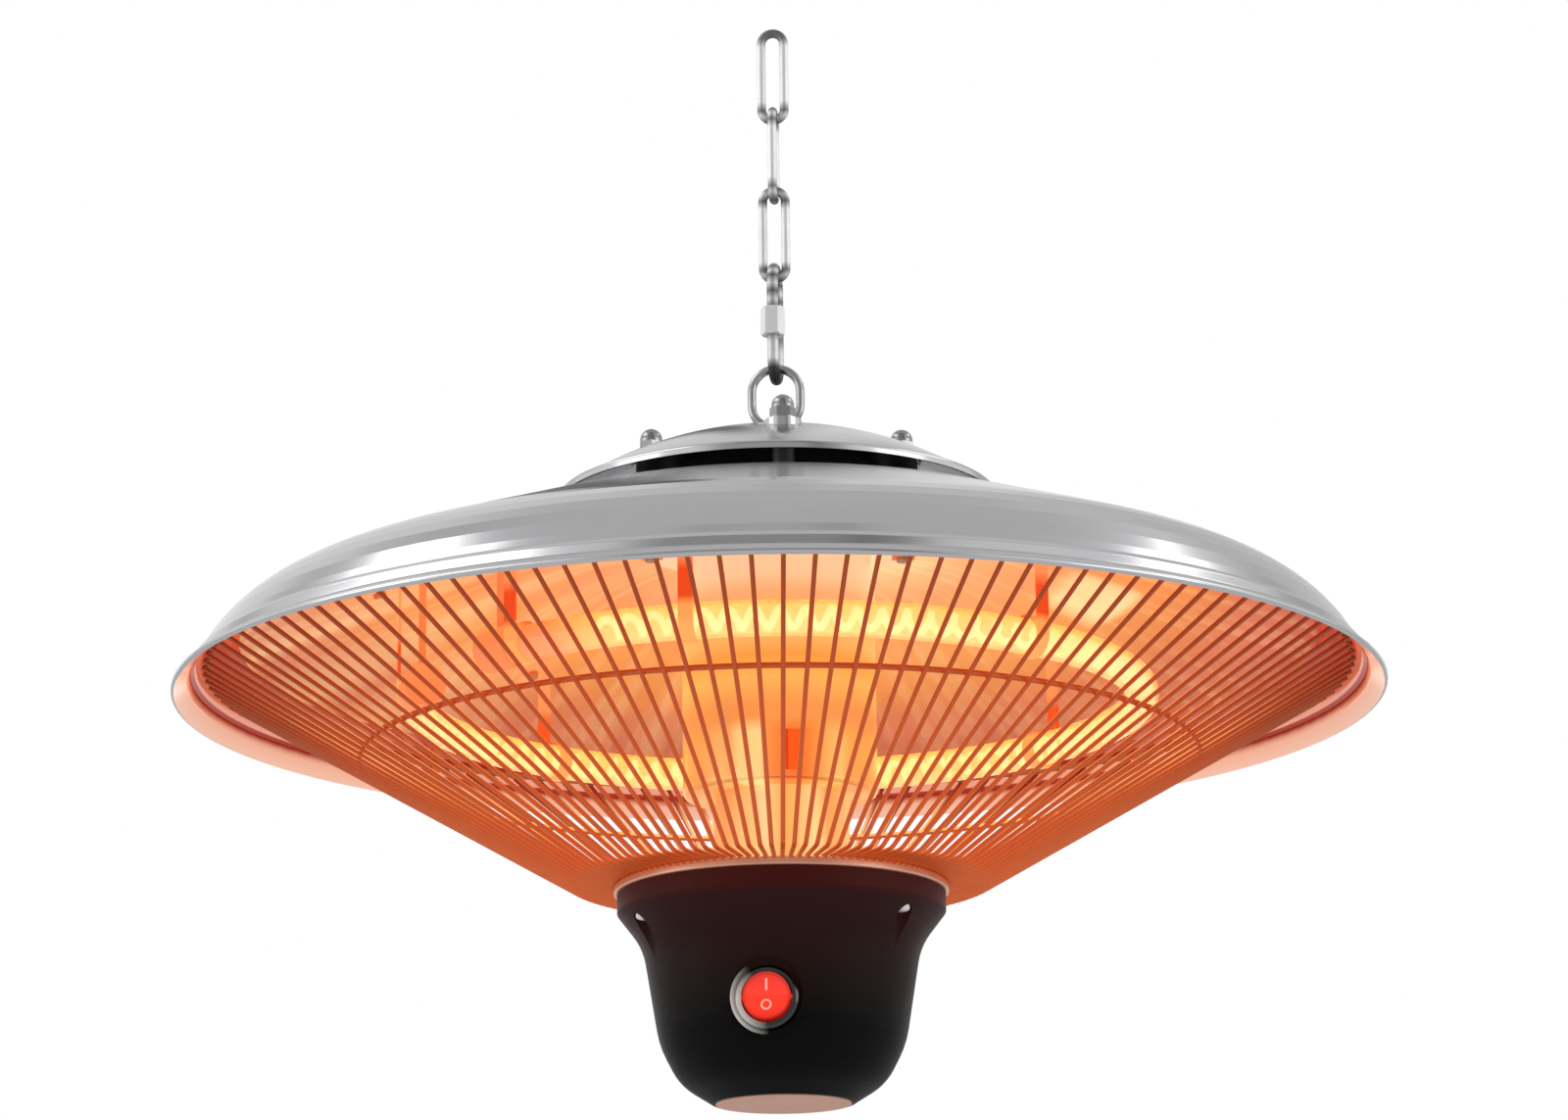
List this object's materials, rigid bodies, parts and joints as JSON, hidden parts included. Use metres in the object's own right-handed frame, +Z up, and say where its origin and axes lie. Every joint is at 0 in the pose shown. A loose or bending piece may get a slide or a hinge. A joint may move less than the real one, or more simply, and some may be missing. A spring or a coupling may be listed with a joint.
{
  "type": "ceiling infrared heater",
  "caption": "Hanging infrared heater: a spun metal shade with a ring lamp and wire guard on a central column, a black bell with a rocker switch below, hung by chain and quick link.",
  "frame": {"origin": "hanging point: inside top of the top chain link, where the ceiling hook carries it", "axes": "+Z up along the heater's axis, -Y towards the side with the rocker switch, +X to the right of a person who faces the switch"},
  "size_m": [0.425, 0.425, 0.3926],
  "materials": {
    "steel_chain": "zinc plated",
    "bright_metal": "polished",
    "shade_metal": "mirror polished",
    "cap_metal": "satin, spun",
    "reflector_metal": "bright rolled",
    "black_rubber": "matt",
    "black_steel": "matt black",
    "grey_plastic": "matt",
    "ivory_plastic": "matt",
    "quartz": "clear, gold tinted",
    "filament": "glowing coil",
    "ceramic": "glazed ceramic",
    "lead_sleeve": "braided glass sleeve",
    "guard_steel": "chrome plated wire",
    "column_metal": "polished",
    "bead_metal": "polished",
    "bell_black": "satin black",
    "disc_pale": "matt",
    "bezel_black": "gloss",
    "brass": "plain",
    "rocker_red": "lit, translucent"
  },
  "bodies": {
    "link_top": {"chain_link_top": "steel_chain"},
    "link_middle": {"chain_link_middle": "steel_chain"},
    "link_bottom": {"chain_link_bottom": "steel_chain"},
    "quick_body": {"quick_link": "steel_chain"},
    "sleeve": {"quick_link_sleeve": "steel_chain"},
    "heater": {"hanging_eye": "steel_chain", "eye_washer": "steel_chain", "eye_nut": "steel_chain", "top_cap": "cap_metal", "cap_acorn_nuts": "bright_metal", "cap_washers": "bright_metal", "cap_studs": "steel_chain", "cap_spacers": "steel_chain", "cable_grommet": "black_rubber", "hanger_plate": "black_steel", "terminal_can": "black_steel", "terminal_block": "ivory_plastic", "shade": "shade_metal", "crown_spacers": "steel_chain", "reflector": "reflector_metal", "stud_nuts": "steel_chain", "lamp_tube": "quartz", "lamp_filament": "filament", "lamp_end_caps": "ceramic", "lamp_leads": "lead_sleeve", "lead_bushes": "ceramic", "lamp_holders": "bright_metal", "holder_screws": "steel_chain", "guard_wires": "guard_steel", "guard_outer_ring": "guard_steel", "guard_middle_ring": "guard_steel", "guard_inner_ring": "guard_steel", "guard_clips": "steel_chain", "column_upper": "column_metal", "column_neck": "column_metal", "tie_rod": "steel_chain", "tie_rod_nuts": "steel_chain", "bell_collar": "bead_metal", "bell_housing": "bell_black", "bell_screws": "bright_metal", "bottom_disc": "disc_pale", "switch_bezel": "bezel_black", "switch_body": "grey_plastic", "switch_terminals": "brass"},
    "rocker": {"switch_rocker": "rocker_red"}
  },
  "joints": [
    {"name": "middle_link_swing", "type": "hinge", "parent": "link_top", "child": "link_middle", "pos_m": [0, 0, -0.0318], "axis": [1, 0, 0], "range_deg": [-45, 45]},
    {"name": "bottom_link_swing", "type": "hinge", "parent": "link_middle", "child": "link_bottom", "pos_m": [0, 0, -0.0619], "axis": [0, 1, 0], "range_deg": [-45, 45]},
    {"name": "quick_link_swing", "type": "hinge", "parent": "link_bottom", "child": "quick_body", "pos_m": [0, 0, -0.092], "axis": [1, 0, 0], "range_deg": [-45, 45]},
    {"name": "sleeve_travel", "type": "slide", "parent": "quick_body", "child": "sleeve", "axis": [0, 0, 1], "range_m": [0, 0.009]},
    {"name": "heater_swing", "type": "hinge", "parent": "quick_body", "child": "heater", "pos_m": [0, 0, -0.12925], "axis": [0, 1, 0], "range_deg": [-45, 45]},
    {"name": "rocker_tilt", "type": "hinge", "parent": "heater", "child": "rocker", "pos_m": [0, -0.04233, -0.3588], "axis": [1, 0, 0], "range_deg": [0, 13]}
  ]
}
